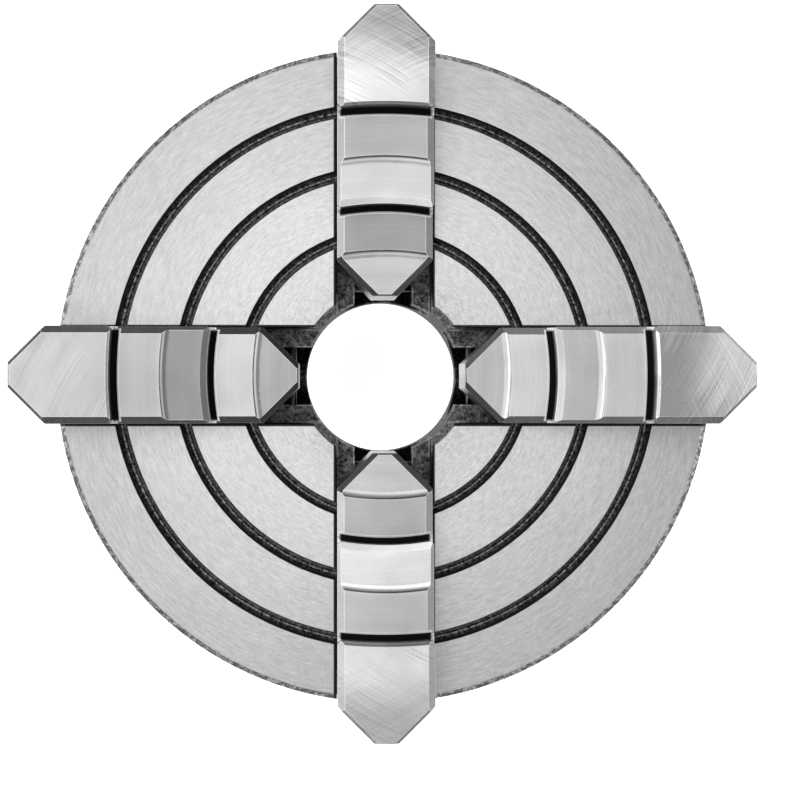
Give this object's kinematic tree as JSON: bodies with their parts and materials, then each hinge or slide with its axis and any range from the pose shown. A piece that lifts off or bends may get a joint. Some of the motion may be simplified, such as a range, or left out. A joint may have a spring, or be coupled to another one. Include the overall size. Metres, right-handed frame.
{
  "type": "lathe chuck",
  "caption": "Independent-jaw lathe chuck: a slotted round body whose reversible stepped jaws each slide on their own screw, turned by a square key.",
  "frame": {"origin": "centre of the back mounting face, on the chuck's axis", "axes": "+Z along the chuck's axis, out of the face that grips the work; +X along the slot of jaw 1, +Y along the slot of jaw 2"},
  "size_m": [0.1375, 0.1357, 0.0625],
  "materials": {
    "cast_body": "satin",
    "jaw_steel": "satin",
    "screw_steel": "satin",
    "fork_steel": "satin",
    "black_screw": "satin"
  },
  "bodies": {
    "chuck": {"chuck_body": "cast_body", "screw_fork_1": "fork_steel", "fork_lock_screw_1": "black_screw", "screw_fork_2": "fork_steel", "fork_lock_screw_2": "black_screw", "screw_fork_3": "fork_steel", "fork_lock_screw_3": "black_screw", "screw_fork_4": "fork_steel", "fork_lock_screw_4": "black_screw"},
    "jaw_1": {"jaw_1": "jaw_steel"},
    "screw_1": {"jaw_screw_1": "screw_steel"},
    "jaw_2": {"jaw_2": "jaw_steel"},
    "screw_2": {"jaw_screw_2": "screw_steel"},
    "jaw_3": {"jaw_3": "jaw_steel"},
    "screw_3": {"jaw_screw_3": "screw_steel"},
    "jaw_4": {"jaw_4": "jaw_steel"},
    "screw_4": {"jaw_screw_4": "screw_steel"}
  },
  "joints": [
    {"name": "screw_1_turn", "type": "hinge", "parent": "chuck", "child": "screw_1", "pos_m": [0.039, 0, 0.0175], "axis": [1, 0, 0], "range_deg": [-1224.06, 1896.06]},
    {"name": "jaw_1_slide", "type": "slide", "parent": "chuck", "child": "jaw_1", "axis": [1, 0, 0], "range_m": [-0.0102, 0.0158]},
    {"name": "screw_2_turn", "type": "hinge", "parent": "chuck", "child": "screw_2", "pos_m": [0, 0.039, 0.0175], "axis": [0, 1, 0], "range_deg": [-1200.06, 1920.06]},
    {"name": "jaw_2_slide", "type": "slide", "parent": "chuck", "child": "jaw_2", "axis": [0, 1, 0], "range_m": [-0.01, 0.016]},
    {"name": "screw_3_turn", "type": "hinge", "parent": "chuck", "child": "screw_3", "pos_m": [-0.039, 0, 0.0175], "axis": [-1, 0, 0], "range_deg": [-1356.06, 1764.06]},
    {"name": "jaw_3_slide", "type": "slide", "parent": "chuck", "child": "jaw_3", "axis": [-1, 0, 0], "range_m": [-0.0113, 0.0147]},
    {"name": "screw_4_turn", "type": "hinge", "parent": "chuck", "child": "screw_4", "pos_m": [0, -0.039, 0.0175], "axis": [0, -1, 0], "range_deg": [-1164.06, 1956.06]},
    {"name": "jaw_4_slide", "type": "slide", "parent": "chuck", "child": "jaw_4", "axis": [0, -1, 0], "range_m": [-0.0097, 0.0163]}
  ],
  "couplings": [
    {"joint": "screw_1_turn", "follows": "jaw_1_slide", "rad_per_m": 2094.4},
    {"joint": "screw_2_turn", "follows": "jaw_2_slide", "rad_per_m": 2094.4},
    {"joint": "screw_3_turn", "follows": "jaw_3_slide", "rad_per_m": 2094.4},
    {"joint": "screw_4_turn", "follows": "jaw_4_slide", "rad_per_m": 2094.4}
  ]
}
